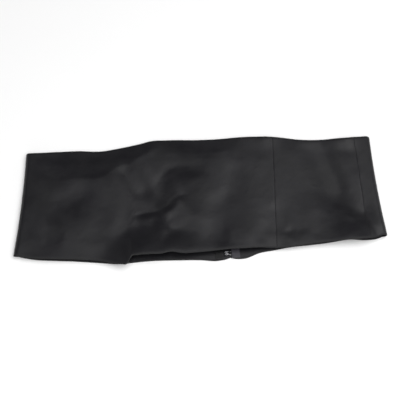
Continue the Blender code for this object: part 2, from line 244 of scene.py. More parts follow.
def walled_sheet(name: str, columns: list, wall: float) -> bpy.types.Object:
    """Makes a closed sheet through columns of points, with rounded near and far rims and eased end rims.

    Args:
        name: the piece's name.
        columns: arrays of points in millimetres, each with x, y and z rows, from the near to the far rim.
        wall: the thickness of the cloth.

    Returns:
        The piece, with each point's place on the flat cloth and its nearness to a rim as attributes.
    """
    grid = np.transpose(np.array(columns), (0, 2, 1))
    columns_count, rows_count, _ = grid.shape
    along, across = np.gradient(grid, axis=0), np.gradient(grid, axis=1)
    normal = np.cross(along, across)
    normal /= np.linalg.norm(normal, axis=2, keepdims=True)
    steps = np.linalg.norm(np.diff(grid, axis=0), axis=2).mean(axis=1)
    run = np.concatenate(([0.0], np.cumsum(steps)))
    to_end = np.minimum(run, run[-1] - run)
    half = wall / 2 * (1 - END_EASE * np.exp(-((to_end / END_ROLL) ** 2)))[:, None, None]
    turns = np.linspace(0.0, math.pi, RIM_STEPS + 2)[1:-1, None]
    rims = []
    for row, outward in ((rows_count - 1, 1), (0, -1)):
        way = across[:, row] / np.linalg.norm(across[:, row], axis=1, keepdims=True)
        round_ = np.cos(turns) * normal[:, row][:, None] + np.sin(turns) * way[:, None]
        rims.append(grid[:, row][:, None] + outward * half * round_)
    shell = np.concatenate((grid + normal * half, rims[0], (grid - normal * half)[:, ::-1], rims[1]), axis=1)
    ring = shell.shape[1]
    mesh = bpy.data.meshes.new(name)
    mesh.from_pydata((shell * MM).reshape(-1, 3).tolist(), [], sheet_faces(columns_count, rows_count, ring))
    gaps = np.linalg.norm(np.diff(grid, axis=1), axis=2)
    widths = np.concatenate((np.zeros((columns_count, 1)), np.cumsum(gaps, axis=1)), axis=1)
    far, near = np.repeat(widths[:, -1:], RIM_STEPS, axis=1), np.zeros((columns_count, RIM_STEPS))
    place_across = np.concatenate((widths, far, widths[:, ::-1], near), axis=1)
    place_along = np.repeat(run[:, None], ring, axis=1)
    place = np.stack((place_along, place_across, np.zeros_like(place_across)), axis=2)
    to_rim = np.minimum(place_across, widths[:, -1:] - place_across)
    rim_share = np.exp(-((to_rim / RIM_BAND) ** 2))
    attribute = mesh.attributes.new("cloth_place", "FLOAT_VECTOR", "POINT")
    attribute.data.foreach_set("vector", (place * MM).ravel())
    attribute = mesh.attributes.new("rim", "FLOAT", "POINT")
    attribute.data.foreach_set("value", rim_share.ravel())
    mesh.shade_smooth()
    mesh.set_sharp_from_angle(angle=math.radians(SHARP_ANGLE))
    sheet = bpy.data.objects.new(name, mesh)
    bpy.context.scene.collection.objects.link(sheet)
    return sheet


def sheet_faces(columns: int, rows: int, ring: int) -> list:
    """The faces of a sheet's closed shell, its outer side first.

    Args:
        columns: how many columns of points it has.
        rows: how many points a column has from rim to rim.
        ring: how many points go all the way round a column's wall.

    Returns:
        Tuples of vertex numbers, all facing outwards.
    """
    faces = []
    for c in range(columns - 1):
        here, there = c * ring, (c + 1) * ring
        for m in range(ring):
            after = (m + 1) % ring
            faces.append((here + m, there + m, there + after, here + after))
    inner = [rows + RIM_STEPS + rows - 1 - row for row in range(rows)]
    cap = [(row, row + 1, inner[row + 1], inner[row]) for row in range(rows - 1)]
    cap.append(tuple(range(rows - 1, rows + RIM_STEPS + 1)))
    cap.append((*range(inner[0], ring), 0))
    last = (columns - 1) * ring
    return faces + cap + [tuple(last + k for k in face[::-1]) for face in cap]


# ---------------------------------------------------------------------------------------------------
# Finishes
# ---------------------------------------------------------------------------------------------------


@dataclass(frozen=True)
class FusedSatin:
    """Black duchesse satin fused to a stiffening: a soft broad sheen with faint mottling from the glue."""

    base: str = "0e0e10"
    cool_patch: str = "141318"
    # The colour within a narrow band along the near and far edges, a little lighter than the base.
    rim_colour: str = "101012"
    roughness: float = 0.42
    # How much glossier and duller the glue's mottling makes it.
    mottle_gloss: tuple[float, float] = (-0.05, 0.07)
    rim_roughness: float = 0.62
    specular: float = 0.32
    sheen: float = 0.03
    sheen_roughness: float = 0.45
    mottle_mm: float = 16.0
    tint_mm: float = 45.0
    # Satin floats are about 0.1 mm apart; they are drawn at 0.9 mm, so that they show as a faint grain.
    float_mm: float = 0.9
    float_depth_mm: float = 0.06
    crumple_mm: float = 11.0
    crumple_depth_mm: float = 0.6

    def material(self) -> bpy.types.Material:
        """Builds the satin from the cloth's own place attribute and its rim mask."""
        made, tree, shader = new_material("black duchesse satin", self.base)
        place = add_node(tree, "ShaderNodeAttribute", {"attribute_name": "cloth_place"}).outputs["Vector"]
        rim = add_node(tree, "ShaderNodeAttribute", {"attribute_name": "rim"}).outputs["Fac"]
        sizes = ((self.mottle_mm, 3.0), (self.tint_mm, 1.0), (self.crumple_mm, 2.0))
        mottle, tint, crumple = (
            add_node(tree, "ShaderNodeTexNoise", {"Scale": grain_scale(size), "Detail": detail}, Vector=place)
            for size, detail in sizes
        )
        tones = {"data_type": "RGBA", MIX_A: linear(self.base), MIX_B: linear(self.cool_patch)}
        patch = add_node(tree, "ShaderNodeMix", tones, Factor=tint.outputs["Fac"])
        # Within a narrow band along the near and far edges the colour is drawn a little lighter and the cloth
        # duller.
        tones = {"data_type": "RGBA", MIX_B: linear(self.rim_colour)}
        rim_tone = add_node(tree, "ShaderNodeMix", tones, Factor=rim)
        tree.links.new(patch.outputs[MIX_RESULT], rim_tone.inputs[MIX_A])
        tree.links.new(rim_tone.outputs[MIX_RESULT], shader.inputs["Base Color"])
        low, high = (self.roughness + change for change in self.mottle_gloss)
        limits = {"From Min": 0.3, "From Max": 0.7, "To Min": low, "To Max": high}
        gloss = add_node(tree, "ShaderNodeMapRange", limits, Value=mottle.outputs["Fac"]).outputs["Result"]
        dulled = add_node(tree, "ShaderNodeMix", {"B": self.rim_roughness}, A=gloss, Factor=rim)
        tree.links.new(dulled.outputs["Result"], shader.inputs["Roughness"])
        weave = {
            "bands_direction": "DIAGONAL",
            "Scale": band_scale(self.float_mm),
            "Distortion": 1.5,
            "Detail": 1.0,
            "Detail Scale": 2.0,
        }
        floats = add_node(tree, "ShaderNodeTexWave", weave, Vector=place).outputs["Fac"]
        depth = {"Strength": 0.35, "Distance": self.crumple_depth_mm * MM}
        soft = add_node(tree, "ShaderNodeBump", depth, Height=crumple.outputs["Fac"]).outputs["Normal"]
        depth = {"Strength": 0.25, "Distance": self.float_depth_mm * MM}
        grain = add_node(tree, "ShaderNodeBump", depth, Height=floats, Normal=soft)
        tree.links.new(grain.outputs["Normal"], shader.inputs["Normal"])
        shader.inputs["Specular IOR Level"].default_value = self.specular
        shader.inputs["Sheen Weight"].default_value = self.sheen
        shader.inputs["Sheen Roughness"].default_value = self.sheen_roughness
        return made


@dataclass(frozen=True)
class RibbonTape:
    """Satin-faced tape of hook-and-eye closures: fine ribs across it and a pale violet cast."""

    face: str = "37353c"
    rib: str = "2a282e"
    rib_mm: float = 0.8
    rib_depth_mm: float = 0.08
    specular: float = 0.32
    sheen: float = 0.03
    roughness: float = 0.42

    def material(self) -> bpy.types.Material:
        """Builds the tape on its own place attribute, with its ribs across its length."""
        made, tree, shader = new_material(f"satin tape {self.face}", self.face)
        place = add_node(tree, "ShaderNodeAttribute", {"attribute_name": "cloth_place"}).outputs["Vector"]
        spacing = {"bands_direction": "Y", "Scale": band_scale(self.rib_mm)}
        ribs = add_node(tree, "ShaderNodeTexWave", spacing, Vector=place).outputs["Fac"]
        tones = {"data_type": "RGBA", MIX_A: linear(self.rib), MIX_B: linear(self.face)}
        colour = add_node(tree, "ShaderNodeMix", tones, Factor=ribs)
        tree.links.new(colour.outputs[MIX_RESULT], shader.inputs["Base Color"])
        depth = {"Strength": 0.4, "Distance": self.rib_depth_mm * MM}
        bump = add_node(tree, "ShaderNodeBump", depth, Height=ribs)
        tree.links.new(bump.outputs["Normal"], shader.inputs["Normal"])
        shader.inputs["Roughness"].default_value = self.roughness
        shader.inputs["Sheen Weight"].default_value = self.sheen
        shader.inputs["Specular IOR Level"].default_value = self.specular
        return made


@dataclass(frozen=True)
class PlatedWire:
    """Drawn brass wire plated with nickel: bright, with faint stains that blur its gloss."""

    plate: str = "bcbcbf"
    dull: str = "828285"
    # Roughness where it is stained and where it is bright.
    gloss: tuple[float, float] = (0.40, 0.24)
    stain_mm: float = 1.6

    def material(self) -> bpy.types.Material:
        """Builds the plated wire on object coordinates."""
        made, tree, shader = new_material("nickel-plated wire", self.plate)
        where = add_node(tree, "ShaderNodeTexCoord").outputs["Object"]
        grain = {"Scale": grain_scale(self.stain_mm), "Detail": 2.0}
        stain = add_node(tree, "ShaderNodeTexNoise", grain, Vector=where).outputs["Fac"]
        tones = {"data_type": "RGBA", MIX_A: linear(self.dull), MIX_B: linear(self.plate)}
        colour = add_node(tree, "ShaderNodeMix", tones, Factor=stain)
        tree.links.new(colour.outputs[MIX_RESULT], shader.inputs["Base Color"])
        limits = {"To Min": self.gloss[0], "To Max": self.gloss[1]}
        gloss = add_node(tree, "ShaderNodeMapRange", limits, Value=stain)
        tree.links.new(gloss.outputs["Result"], shader.inputs["Roughness"])
        shader.inputs["Metallic"].default_value = 1.0
        return made


@dataclass(frozen=True)
class EnamelledWire:
    """Brass wire dipped in black enamel: a soft gloss, with thin spots where the hooks rub."""

    enamel: str = "131315"
    rubbed: str = "2b2927"
    roughness: float = 0.42
    rub_mm: float = 2.2

    def material(self) -> bpy.types.Material:
        """Builds the enamelled wire on object coordinates."""
        made, tree, shader = new_material("black enamelled wire", self.enamel)
        where = add_node(tree, "ShaderNodeTexCoord").outputs["Object"]
        grain = {"Scale": grain_scale(self.rub_mm), "Detail": 3.0}
        rub = add_node(tree, "ShaderNodeTexNoise", grain, Vector=where)
        limits = {"From Min": 0.6, "From Max": 0.72}
        spots = add_node(tree, "ShaderNodeMapRange", limits, Value=rub.outputs["Fac"])
        tones = {"data_type": "RGBA", MIX_A: linear(self.enamel), MIX_B: linear(self.rubbed)}
        colour = add_node(tree, "ShaderNodeMix", tones, Factor=spots.outputs["Result"])
        tree.links.new(colour.outputs[MIX_RESULT], shader.inputs["Base Color"])
        shader.inputs["Roughness"].default_value = self.roughness
        return made


@dataclass(frozen=True)
class SewingThread:
    """Spun polyester thread: matt, with the light and dark turns of its twist."""

    light: str
    dark: str
    twist_mm: float = 0.5
    roughness: float = 0.7

    def material(self) -> bpy.types.Material:
        """Builds the thread on object coordinates."""
        made, tree, shader = new_material(f"spun thread {self.light}", self.light)
        where = add_node(tree, "ShaderNodeTexCoord").outputs["Object"]
        spacing = {"bands_direction": "DIAGONAL", "Scale": band_scale(self.twist_mm)}
        twist = add_node(tree, "ShaderNodeTexWave", spacing, Vector=where)
        tones = {"data_type": "RGBA", MIX_A: linear(self.dark), MIX_B: linear(self.light)}
        colour = add_node(tree, "ShaderNodeMix", tones, Factor=twist.outputs["Fac"])
        tree.links.new(colour.outputs[MIX_RESULT], shader.inputs["Base Color"])
        shader.inputs["Roughness"].default_value = self.roughness
        return made


@dataclass(frozen=True)
class StudioPaper:
    """White background paper: matt, with no pattern of its own."""

    white: str = "f7f7f7"
    roughness: float = 0.9
    specular: float = 0.1

    def material(self) -> bpy.types.Material:
        """Builds the paper."""
        made, _, shader = new_material("white background paper", self.white)
        shader.inputs["Base Color"].default_value = linear(self.white)
        shader.inputs["Roughness"].default_value = self.roughness
        shader.inputs["Specular IOR Level"].default_value = self.specular
        return made


# ---------------------------------------------------------------------------------------------------
# Stitches
# ---------------------------------------------------------------------------------------------------


@dataclass(frozen=True)
class StitchLine:
    """Machine stitches along lines, spread by Geometry Nodes."""

    pitch: float = 2.6
    length: float = 2.0
    thread: float = 0.16
    smallest: float = 0.86
    largest: float = 1.08
    seed: int = 7

    def group(self) -> bpy.types.NodeTree:
        """The node group that puts a rounded stitch at each step of a line and turns it along the line."""
        tree = bpy.data.node_groups.new("stitch line", "GeometryNodeTree")
        inputs = (
            ("Line", "Geometry"),
            ("Pitch", "Float"),
            ("Stitch Length", "Float"),
            ("Thread Radius", "Float"),
            ("Seed", "Int"),
            ("Thread", "Material"),
        )
        for name, kind in inputs:
            tree.interface.new_socket(name, in_out="INPUT", socket_type=f"NodeSocket{kind}")
        tree.interface.new_socket("Stitches", in_out="OUTPUT", socket_type="NodeSocketGeometry")
        given = tree.nodes.new("NodeGroupInput").outputs
        curve = add_node(tree, "GeometryNodeMeshToCurve", Mesh=given["Line"]).outputs["Curve"]
        by_length = {"mode": "LENGTH"}
        steps = add_node(tree, "GeometryNodeResampleCurve", by_length, Curve=curve, Length=given["Pitch"])
        radius, whole = given["Thread Radius"], given["Stitch Length"]
        half = add_node(tree, "ShaderNodeMath", {"operation": "MULTIPLY", 1: 0.5}, Value=whole)
        size = add_node(tree, "ShaderNodeCombineXYZ", X=half.outputs["Value"], Y=radius, Z=radius)
        round_ball = {"Segments": 8, "Rings": 6, "Radius": 1.0}
        ball = add_node(tree, "GeometryNodeMeshUVSphere", round_ball).outputs["Mesh"]
        stitch = add_node(tree, "GeometryNodeTransform", Geometry=ball, Scale=size.outputs["Vector"])
        way = add_node(tree, "GeometryNodeInputTangent").outputs["Tangent"]
        turn = add_node(tree, "FunctionNodeAlignRotationToVector", {"axis": "X"}, Vector=way)
        # Inputs 2 and 3 and output 1 are those of a random float.
        sizes = {"data_type": "FLOAT", 2: self.smallest, 3: self.largest}
        uneven = add_node(tree, "FunctionNodeRandomValue", sizes, Seed=given["Seed"])
        spread = add_node(
            tree,
            "GeometryNodeInstanceOnPoints",
            Points=steps.outputs["Curve"],
            Instance=stitch.outputs["Geometry"],
            Rotation=turn.outputs["Rotation"],
            Scale=uneven.outputs[1],
        )
        real = add_node(tree, "GeometryNodeRealizeInstances", Geometry=spread.outputs["Instances"])
        loose = real.outputs["Geometry"]
        done = add_node(tree, "GeometryNodeSetMaterial", Geometry=loose, Material=given["Thread"])
        tree.links.new(done.outputs["Geometry"], tree.nodes.new("NodeGroupOutput").inputs["Stitches"])
        return tree

    def sewn(self, name: str, lines: list, thread: bpy.types.Material) -> bpy.types.Object:
        """Sews stitches along lines.

        Args:
            name: the piece's name.
            lines: arrays of points in millimetres.
            thread: the finish of the thread.

        Returns:
            All the stitches, as one piece.
        """
        points, edges = [], []
        for line in lines:
            start = len(points)
            points += (np.array(line) * MM).tolist()
            edges += [(start + k, start + k + 1) for k in range(len(line) - 1)]
        mesh = bpy.data.meshes.new(name)
        mesh.from_pydata(points, edges, [])
        source = bpy.data.objects.new(name, mesh)
        bpy.context.scene.collection.objects.link(source)
        nodes = source.modifiers.new("stitches", "NODES")
        nodes.node_group = self.group()
        values = {
            "Pitch": self.pitch * MM,
            "Stitch Length": self.length * MM,
            "Thread Radius": self.thread * MM,
            "Seed": self.seed,
            "Thread": thread,
        }
        for item in nodes.node_group.interface.items_tree:
            if item.in_out == "INPUT" and item.name in values:
                nodes[item.identifier] = values[item.name]
        piece = baked(source, name)
        piece.data.shade_smooth()
        return finished(piece, thread)


# ---------------------------------------------------------------------------------------------------
# The form of the band
# ---------------------------------------------------------------------------------------------------


class Layer(Enum):
    """Which layer of the flattened band a point is on."""

    FRONT = "front"
    BACK = "back"


@dataclass(frozen=True)
class Line:
    """A seam or fold across the band: the X of its near and far ends, and how far its middle bows."""

    near_x: float
    far_x: float
    bow: float = 0.0

    def x(self, v: np.ndarray) -> np.ndarray:
        """The line's X at the shares v of the way from the near to the far edge."""
        return mix(self.near_x, self.far_x, v) + self.bow * 4 * v * (1 - v)


@dataclass(frozen=True)
class Crease:
    """A ridge or, with a height below zero, a trough, drawn from left to right.

    The widths are those of its slopes on the far and the near side of its line. A power of 2 rounds a
    slope off at the line and one near 1 makes it crisp. The fades are the shares of the length over
    which the two ends die out.
    """

    height: float
    far_width: float
    near_width: float
    line: tuple
    fades: tuple[float, float] = (0.3, 0.3)
    far_power: float = 2.0
    near_power: float = 2.0

    def lift(self, x: np.ndarray, y: np.ndarray) -> np.ndarray:
        """How much the crease lifts or lowers the cloth.

        Args:
            x: places along the band.
            y: places across the band.

        Returns:
            The change in height at each place.
        """
        run = smooth_line(self.line, CREASE_STEP)
        reach = CREASE_REACH * max(self.far_width, self.near_width)
        low, high = run.min(axis=0) - reach, run.max(axis=0) + reach
        near = (x > low[0]) & (x < high[0]) & (y > low[1]) & (y < high[1])
        lifted = np.zeros_like(x)
        if near.any():
            lifted[near] = self._lift_near(x[near], y[near], run)
        return lifted

    def _lift_near(self, x: np.ndarray, y: np.ndarray, run: np.ndarray) -> np.ndarray:
        """The change in height at places within reach of the line."""
        start, way = run[:-1], np.diff(run, axis=0)
        lengths = np.linalg.norm(way, axis=1)
        before = np.concatenate(([0.0], np.cumsum(lengths)))
        px = x[:, None] - start[:, 0]
        py = y[:, None] - start[:, 1]
        along = np.clip((px * way[:, 0] + py * way[:, 1]) / lengths**2, 0.0, 1.0)
        dx = px - along * way[:, 0]
        dy = py - along * way[:, 1]
        distances = np.hypot(dx, dy)
        nearest = np.argmin(distances, axis=1)
        rows = np.arange(len(x))
        distance = distances[rows, nearest]
        # 1 beside the line on its far side, 0 on its near side, and between them past its ends.
        across = ((way[:, 0] * dy - way[:, 1] * dx) / lengths)[rows, nearest]
        side = smooth_step(0.5 + 0.5 * across / np.maximum(distance, 1e-6))
        width = mix(self.near_width, self.far_width, side)
        power = mix(self.near_power, self.far_power, side)
        share = (before[:-1] + along * lengths) / before[-1]
        fades = smooth_step(share / self.fades[0]) * smooth_step((1 - share) / self.fades[1])
        # Inside a bend two stretches are equally near, so the fade is blended between them.
        weights = np.exp((distance[:, None] - distances) / FADE_BLEND)
        fade = (fades * weights).sum(axis=1) / weights.sum(axis=1)
        # A little rounding at the line keeps a crisp crease from being a knife edge.
        rounding = CREASE_ROUNDING * min(self.far_width, self.near_width)
        rounded = np.hypot(distance, rounding) - rounding
        return self.height * fade * np.exp(-((rounded / width) ** power))


# The near edge of the front layer: x, y, the height of the middle of the wall, and how far into the cloth
# that height is felt.
FRONT_NEAR_EDGE = (
    (-184, -63.2, 5.2, 19),
    (-166, -66.1, 5.6, 19),
    (-147, -67.2, 6.4, 19),
    (-118, -67.7, 5.6, 19),
    (-98, -69.1, 5.6, 19),
    (-84, -72.3, 7.8, 30),
    (-76, -74.3, 10.2, 38),
    (-71.5, -74.1, 11.4, 42),
    (-68, -67.2, 12.0, 35),
    (-62, -65.7, 13.0, 34),
    (-50, -64.9, 13.6, 33),
    (-38, -64.2, 13.6, 31),
    (-30, -62.3, 13.4, 29),
    (-18, -63.2, 12.0, 28),
    (-1, -61.2, 9.6, 24),
    (13, -59.3, 8.4, 19),
    (28, -57.8, 9.4, 19),
    (43, -57.0, 9.4, 19),
    (57, -55.6, 8.0, 19),
    (74, -55.2, 5.8, 19),
    (87, -54.5, 6.9, 19),
    (106, -52.1, 8.2, 19),
    (126, -50.2, 10.0, 19),
    (146, -49.0, 13.4, 22),
    (160, -48.2, 13.2, 22),
    (173, -44.4, 8.8, 19),
    (183, -39.9, 7.2, 19),
)

# The near edge of the back layer, from the left fold to the centre back and on to the right fold.
BACK_NEAR_EDGE = (
    (-184, -61.4),
    (-173, -64.2),
    (-162, -66.0),
    (-148, -66.8),
    (-119, -67.9),
    (-99, -69.3),
    (-79, -70.4),
    (-70, -69.4),
    (-50, -67.3),
    (-21, -66.4),
    (-1, -66.2),
    (16, -67.0),
    (25, -65.2),
    (28.2, -63.9),
    (33, -64.8),
    (43, -64.5),
    (57, -58.8),
    (74, -55.4),
    (87, -52.7),
    (107, -50.3),
    (127, -47.6),
    (147, -44.2),
    (161, -44.9),
    (174, -43.3),
    (184, -38.5),
)

# The far edge of both layers: x, y, and the height of the middle of the front layer's wall.
FAR_EDGE = (
    (-179, 48.6, 5.0),
    (-164, 49.7, 5.0),
    (-144, 51.6, 3.6),
    (-125, 52.6, 3.4),
    (-103, 52.2, 3.4),
    (-93, 53.7, 3.4),
    (-83, 55.8, 3.6),
    (-73, 58.1, 3.6),
    (-62, 60.8, 3.8),
    (-52, 63.9, 3.8),
    (-37, 64.9, 3.8),
    (-1, 65.0, 4.4),
    (19, 65.8, 5.0),
    (40, 67.3, 6.3),
    (56, 67.7, 6.8),
    (66, 67.5, 7.4),
    (75, 67.2, 6.8),
    (84, 66.7, 5.8),
    (101, 65.1, 4.8),
    (122, 65.4, 3.9),
    (142, 66.1, 6.7),
    (148, 66.1, 7.6),
    (156, 67.2, 7.0),
    (172, 69.0, 5.6),
)

# The height of the front layer at the left and the right fold, from the near edge, 0, to the far edge, 1.
FOLD_HEIGHTS = (
    (0.0, 5.2, 8.2),
    (0.1, 6.2, 8.8),
    (0.25, 6.4, 8.0),
    (0.45, 6.6, 7.4),
    (0.75, 6.0, 6.4),
    (1.0, 5.8, 6.0),
)

# The creases of the front layer: height, far and near width, the line's x and y, fades, far and near power.
FRONT_CREASES = {
    "shoulder ridge": Crease(
        1.1, 5, 22,
        (
            (-160, 14), (-126, 18), (-106, 18), (-96, 22), (-88, 29),
            (-80, 34), (-71, 36), (-63, 43), (-56, 49), (-40, 50),
        ),
        (0.25, 0.2), 1.4,
    ),
    "hollow behind the shoulder": Crease(-2.0, 14, 15, ((-168, 49), (-130, 49), (-105, 51), (-66, 58))),
    "long valley": Crease(-2.3, 9, 9, ((-92, 36), (-79, 31), (-69, 20), (-58, 3), (-50, -8))),
    "far hollow": Crease(-1.8, 18, 13, ((-53, 61), (-37, 41), (-28, 24)), far_power=1.8),
    "middle trough": Crease(-1.4, 7, 8, ((-48, 4), (-42, 12), (-34, 24), (-22, 30), (-8, 31), (10, 32))),
    "central ridge": Crease(1.3, 16, 16, ((1, 56), (3, 23), (8, 2), (20, -11))),
    "central hollow": Crease(-0.8, 12, 7, ((32, 43), (32, 18), (29, -11))),
    "left pocket": Crease(-1.3, 20, 14, ((-92, -32), (-80, -34), (-65, -34), (-52, -36)), (0.5, 0.3)),
    "pocket brow": Crease(0.6, 8, 9, ((-76, -17), (-65, -21), (-55, -25), (-45, -31)), (0.4, 0.35)),
    "ridge foot": Crease(
        2.3, 9, 7, ((-51, -66), (-47, -55), (-41, -43), (-35, -33), (-29, -24)), (0.1, 0.4), 1.8
    ),
    "slanting ridge": Crease(2.8, 11, 32, ((-44, -21), (-37, -17), (-30, -12), (-24, -5), (-18, 2))),
    "right pocket": Crease(
        -1.8, 26, 11, ((-38, -38), (-30, -33), (-22, -32), (-8, -36), (6, -38)), (0.25, 0.6)
    ),
    "deep crease": Crease(
        -2.5, 24, 4.0,
        ((-70, -19), (-60, -18), (-51, -16), (-42, -14), (-36, -11), (-31, -6), (-25, 3)),
        (0.35, 0.25),
    ),
    "falling ridge": Crease(1.0, 14, 12, ((-8, -9), (-10, -30), (-4, -58))),
    "lip swell": Crease(2.4, 23, 10, ((19, -52), (37, -45), (60, -49)), far_power=1.6),
    "lip trough": Crease(-0.4, 8, 5, ((4, -41), (15, -35), (29, -40))),
    "seam hollow": Crease(-0.9, 11, 11, ((68, -5), (74, -25), (66, -47))),
    "side ridge": Crease(1.5, 15, 14, ((98, 8), (112, -17), (121, -52)), (0.5, 0.3)),
    "side valley": Crease(-3.0, 10, 17, ((112, 72), (122, 46), (131, 20), (138, 0), (156, -15)), (0.15, 0.3)),
    "corner ridge": Crease(3.9, 17, 16, ((154, -52), (142, -46), (162, -16)), (0.2, 0.35)),
    "corner hollow": Crease(-0.9, 14, 14, ((134, -14), (148, -24), (168, -28))),
    "fold ridge": Crease(0.6, 9, 8, ((156, 36), (166, 12), (172, -10))),
    "near dimple": Crease(-0.8, 5, 4, ((84, -34), (91, -44), (101, -48)), (0.25, 0.25)),
    "dimple swell": Crease(1.6, 9, 15, ((98, -36), (100, -54), (113, -41))),
    "left swell": Crease(0.9, 12, 12, ((-152, -38), (-132, -35), (-115, -30), (-98, -25))),
    "left trough": Crease(-0.9, 10, 10, ((-153, -14), (-134, -5), (-120, 2), (-106, -5))),
    "near dip": Crease(-0.6, 11, 8, ((-158, -48), (-146, -46), (-135, -49))),
    "side seam hollow": Crease(-1.6, 5, 13, ((132, 68), (148, 61), (153, 62))),
    "upper swell": Crease(0.4, 8, 12, ((36, 46), (56, 38), (72, 34))),
}


@dataclass(frozen=True)
class BandForm:
    """The curved wall of the band. A column, 0 to 1, runs from the left fold to the right fold.

    The reaches are how far from an edge or a fold its own heights are felt. A sink is how far the cloth
    dips at an edge or a seam, and a roll over which distance. cad_wall is the wall of the solids.
    """

    wall: float = 1.5
    front_height: float = 6.4
    least_front_height: float = 3.3
    fold_depth: float = 4.0
    far_reach: float = 18.0
    fold_reach: float = 13.0
    back_far_setback: float = 1.0
    middle_y: float = -0.74
    cad_wall: float = 1.6
    seam_gap: float = 0.04
    seam_sink: float = 0.07
    seam_roll: float = 0.9
    near_sink: float = 0.12
    far_sink: float = 0.45
    edge_roll: float = 1.2
    left_fold: Line = Line(-184.0, -178.6, 1.6)
    right_fold: Line = Line(183.3, 172.6, -1.3)
    front_seam: Line = Line(73.9, 72.8)
    right_side_seam: Line = Line(164.7, 155.8)
    left_side_seam: Line = Line(-152.0, -149.0)
    centre_back: Line = Line(28.2, 18.6)

    def layer_ends(self, v: np.ndarray) -> tuple[np.ndarray, np.ndarray]:
        """The X where the flat layers meet the left and the right fold."""
        inset = self.fold_depth + self.cad_wall / 2
        return self.left_fold.x(v) + inset, self.right_fold.x(v) - inset

    def column(self, line: Line, v: np.ndarray, side: float = 0.0) -> np.ndarray:
        """The column of a seam line, moved side millimetres along X."""
        left, right = self.layer_ends(v)
        return (line.x(v) + side - left) / (right - left)

    def plan(self, layer: Layer, column: np.ndarray, v: np.ndarray) -> tuple[np.ndarray, np.ndarray]:
        """The X and Y of points of a layer, about the tables' own middle."""
        left, right = self.layer_ends(v)
        x = mix(left, right, column)
        front = layer is Layer.FRONT
        near_y = smooth_lookup(x, FRONT_NEAR_EDGE if front else BACK_NEAR_EDGE, 1)
        far_y = smooth_lookup(x, FAR_EDGE, 1) - (0.0 if front else self.back_far_setback)
        return x, mix(near_y, far_y, v)

    def back(self, column: np.ndarray, v: np.ndarray) -> np.ndarray:
        """Points of the middle of the back layer's wall."""
        x, y = self.plan(Layer.BACK, column, v)
        z = np.full_like(x, self.wall / 2)
        return np.array((x, y - self.middle_y, z))

    def front(self, column: np.ndarray, v: np.ndarray) -> np.ndarray:
        """Points of the middle of the front layer's wall."""
        x, y = self.plan(Layer.FRONT, column, v)
        z = np.full_like(x, self.front_height)
        for crease in FRONT_CREASES.values():
            z = z + crease.lift(x, y)
        left, right = self.layer_ends(v)
        from_near = y - smooth_lookup(x, FRONT_NEAR_EDGE, 1)
        from_far = smooth_lookup(x, FAR_EDGE, 1) - y
        near_pull = 1 - smooth_step(from_near / smooth_lookup(x, FRONT_NEAR_EDGE, 3))
        z = mix(z, smooth_lookup(x, FRONT_NEAR_EDGE, 2), near_pull)
        z = mix(z, smooth_lookup(x, FAR_EDGE, 2), 1 - smooth_step(from_far / self.far_reach))
        z = mix(z, smooth_lookup(v, FOLD_HEIGHTS, 1), 1 - smooth_step((x - left) / self.fold_reach))
        z = mix(z, smooth_lookup(v, FOLD_HEIGHTS, 2), 1 - smooth_step((right - x) / self.fold_reach))
        z = np.maximum(z, self.least_front_height)
        z = z - self.near_sink * np.exp(-((from_near / self.edge_roll) ** 2))
        z = z - self.far_sink * np.exp(-((from_far / self.edge_roll) ** 2))
        for seam in (self.front_seam, self.right_side_seam):
            z = z - self.seam_sink * np.exp(-(((x - seam.x(v)) / self.seam_roll) ** 2))
        return np.array((x, y - self.middle_y, z))

    def fold(self, right: bool, v: np.ndarray, angle: float) -> np.ndarray:
        """Points round one fold, with angle from the back layer, -90 degrees, to the front layer, 90."""
        ends = np.full_like(v, float(right))
        point = mix(self.back(ends, v), self.front(ends, v), (1 + math.sin(angle)) / 2)
        outward = 1 if right else -1
        point[0] += outward * self.fold_depth * math.cos(angle)
        return point


# ---------------------------------------------------------------------------------------------------
# Panels
# ---------------------------------------------------------------------------------------------------


@dataclass(frozen=True)
class Cut:
    """A panel: its CAD node, its drawing method, its flat size in metres, what it rests on and carries."""

    node: str
    columns: Callable[[np.ndarray], list]
    flat: tuple[float, float]
    rests_on: list
    pieces: list


